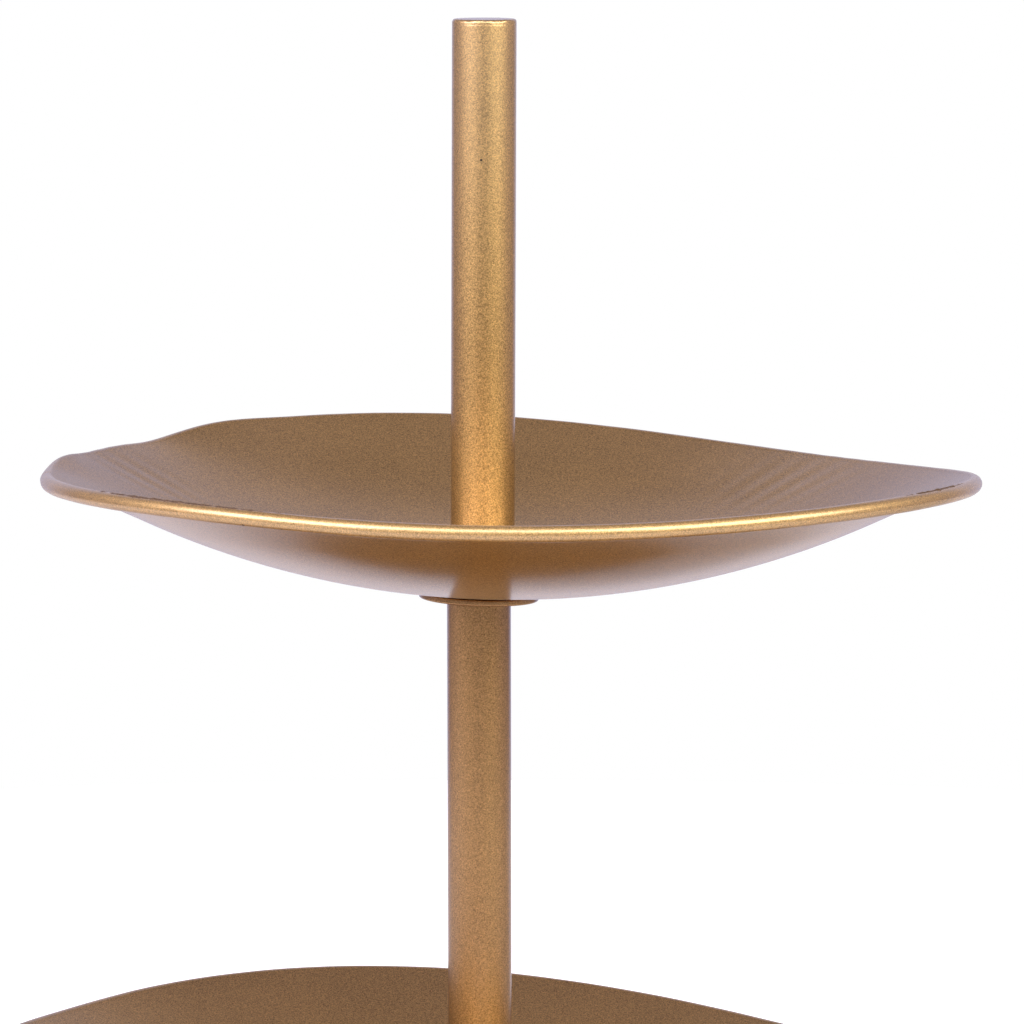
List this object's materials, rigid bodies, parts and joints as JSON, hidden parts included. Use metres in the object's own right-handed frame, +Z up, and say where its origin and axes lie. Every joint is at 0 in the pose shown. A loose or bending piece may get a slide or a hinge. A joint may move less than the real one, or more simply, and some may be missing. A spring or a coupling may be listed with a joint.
{
  "type": "tiered cake stand",
  "caption": "Gold-painted metal cake stand with wavy-edged round dishes clamped one above the other on a slim tubular pole with a domed foot.",
  "frame": {"origin": "centre of the underside of the base pad, on the pole's axis", "axes": "+Z up along the pole, +X towards the side to which both dishes lean, +Y towards the back"},
  "size_m": [0.2878, 0.2916, 0.3424],
  "materials": {
    "gold_paint": "satin metallic gold-bronze spray paint on steel, with a fine speckle",
    "zinc_plate": "bright zinc-plated steel",
    "felt": "dark felt on card"
  },
  "bodies": {
    "foot_base": {"base_pad": "felt", "foot": "gold_paint", "foot_rim_wire": "gold_paint", "foot_nut": "zinc_plate", "foot_stud": "zinc_plate"},
    "lower_tier": {"lower_dish": "gold_paint", "lower_rim_wire": "gold_paint", "lower_washer": "gold_paint"},
    "spacer": {"spacer_tube": "gold_paint", "spacer_bottom_insert": "zinc_plate", "spacer_top_insert": "zinc_plate", "upper_stud": "zinc_plate"},
    "upper_tier": {"upper_dish": "gold_paint", "upper_rim_wire": "gold_paint", "upper_washer": "gold_paint"},
    "handle": {"handle_tube": "gold_paint", "handle_insert": "zinc_plate", "handle_cap": "gold_paint"}
  },
  "joints": [
    {"name": "lower_dish_swivel", "type": "hinge", "parent": "foot_base", "child": "lower_tier", "pos_m": [0, 0, 0.0344], "axis": [0, 0, 1], "continuous": true},
    {"name": "spacer_turn", "type": "hinge", "parent": "foot_base", "child": "spacer", "pos_m": [0, 0, 0.0365], "axis": [0, 0, 1], "range_deg": [0, 90]},
    {"name": "upper_dish_swivel", "type": "hinge", "parent": "spacer", "child": "upper_tier", "pos_m": [0, 0, 0.1994], "axis": [0, 0, 1], "continuous": true},
    {"name": "handle_turn", "type": "hinge", "parent": "spacer", "child": "handle", "pos_m": [0, 0, 0.2012], "axis": [0, 0, 1], "range_deg": [0, 90]}
  ]
}
